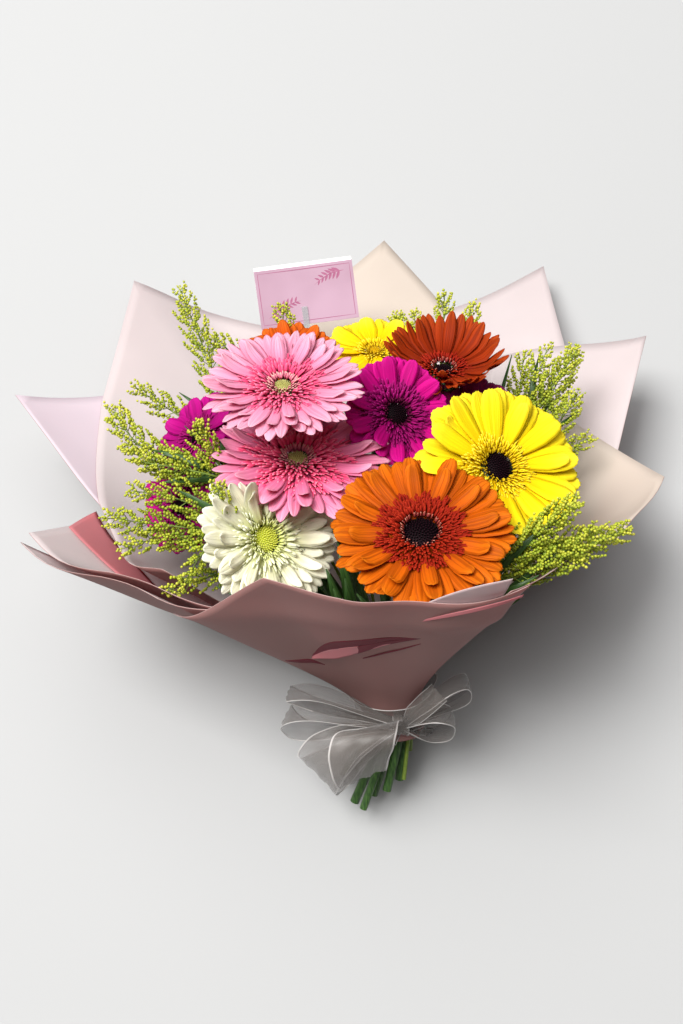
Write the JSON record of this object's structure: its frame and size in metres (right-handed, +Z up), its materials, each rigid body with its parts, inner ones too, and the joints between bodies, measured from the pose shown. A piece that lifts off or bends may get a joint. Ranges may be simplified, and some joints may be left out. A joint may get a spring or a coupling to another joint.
{
  "type": "wrapped gerbera bouquet",
  "caption": "Hand-tied bouquet of mixed gerberas and goldenrod in two-tone paper, lying on its back, with a sheer ribbon bow, cut stems and a small gift card.",
  "frame": {"origin": "middle of the footprint's bounding box, on the surface that the bouquet lies on", "axes": "+Z up from that surface; +Y along the bouquet's footprint, from the cut stems to the top of the paper; +X to the right of somebody who looks at the flowers from the stems' side"},
  "size_m": [0.4062, 0.412, 0.2217],
  "materials": {
    "paper_peach": "matte",
    "paper_pink": "matte",
    "paper_lilac": "matte",
    "paper_rose": "matte",
    "card_stock": "satin",
    "clear_pick": "gloss",
    "stem_green": "satin",
    "eye_dark": "matte",
    "eye_green": "matte",
    "crown_red": "matte",
    "goldenrod": "matte",
    "organza": "satin",
    "petals_orange_front": "satin",
    "petals_yellow_right": "satin",
    "petals_pink_top": "satin",
    "petals_pink_low": "satin",
    "petals_white": "satin",
    "petals_magenta_centre": "satin",
    "petals_orange_back": "satin",
    "petals_yellow_back": "satin",
    "petals_burgundy_back": "satin",
    "petals_magenta_left_upper": "satin",
    "petals_magenta_left_lower": "satin",
    "petals_orange_hidden": "satin"
  },
  "bodies": {
    "root": {"wrap_back_centre": "paper_peach", "wrap_back_right": "paper_pink", "wrap_back_left": "paper_pink", "wrap_left": "paper_lilac", "wrap_right": "paper_pink", "wrap_right_front": "paper_peach", "wrap_front_left": "paper_pink", "wrap_front": "paper_rose", "wrap_front_wing": "paper_rose", "card": "card_stock", "card_pick": "clear_pick", "orange_front_stem": "stem_green", "orange_front_rays": "petals_orange_front", "orange_front_eye": "eye_dark", "yellow_right_stem": "stem_green", "yellow_right_rays": "petals_yellow_right", "yellow_right_eye": "eye_dark", "pink_top_stem": "stem_green", "pink_top_rays": "petals_pink_top", "pink_top_eye": "eye_green", "pink_low_stem": "stem_green", "pink_low_rays": "petals_pink_low", "pink_low_eye": "eye_green", "white_stem": "stem_green", "white_rays": "petals_white", "white_eye": "eye_green", "magenta_centre_stem": "stem_green", "magenta_centre_rays": "petals_magenta_centre", "magenta_centre_eye": "eye_dark", "orange_back_stem": "stem_green", "orange_back_rays": "petals_orange_back", "orange_back_eye": "eye_dark", "yellow_back_stem": "stem_green", "yellow_back_rays": "petals_yellow_back", "yellow_back_eye": "eye_green", "burgundy_back_stem": "stem_green", "burgundy_back_rays": "petals_burgundy_back", "burgundy_back_eye": "eye_dark", "magenta_left_upper_stem": "stem_green", "magenta_left_upper_rays": "petals_magenta_left_upper", "magenta_left_upper_eye": "eye_dark", "magenta_left_lower_stem": "stem_green", "magenta_left_lower_rays": "petals_magenta_left_lower", "magenta_left_lower_eye": "eye_dark", "orange_hidden_stem": "stem_green", "orange_hidden_rays": "petals_orange_hidden", "orange_hidden_eye": "eye_dark", "orange_front_crown": "crown_red", "orange_back_crown": "crown_red", "goldenrod_left_back": "goldenrod", "goldenrod_left_middle": "goldenrod", "goldenrod_left_front": "goldenrod", "goldenrod_back_left": "goldenrod", "goldenrod_back": "goldenrod", "goldenrod_right_back": "goldenrod", "goldenrod_right_front": "goldenrod", "ribbon_band": "organza", "ribbon_left": "organza", "ribbon_centre": "organza", "ribbon_right": "organza"}
  },
  "joints": []
}
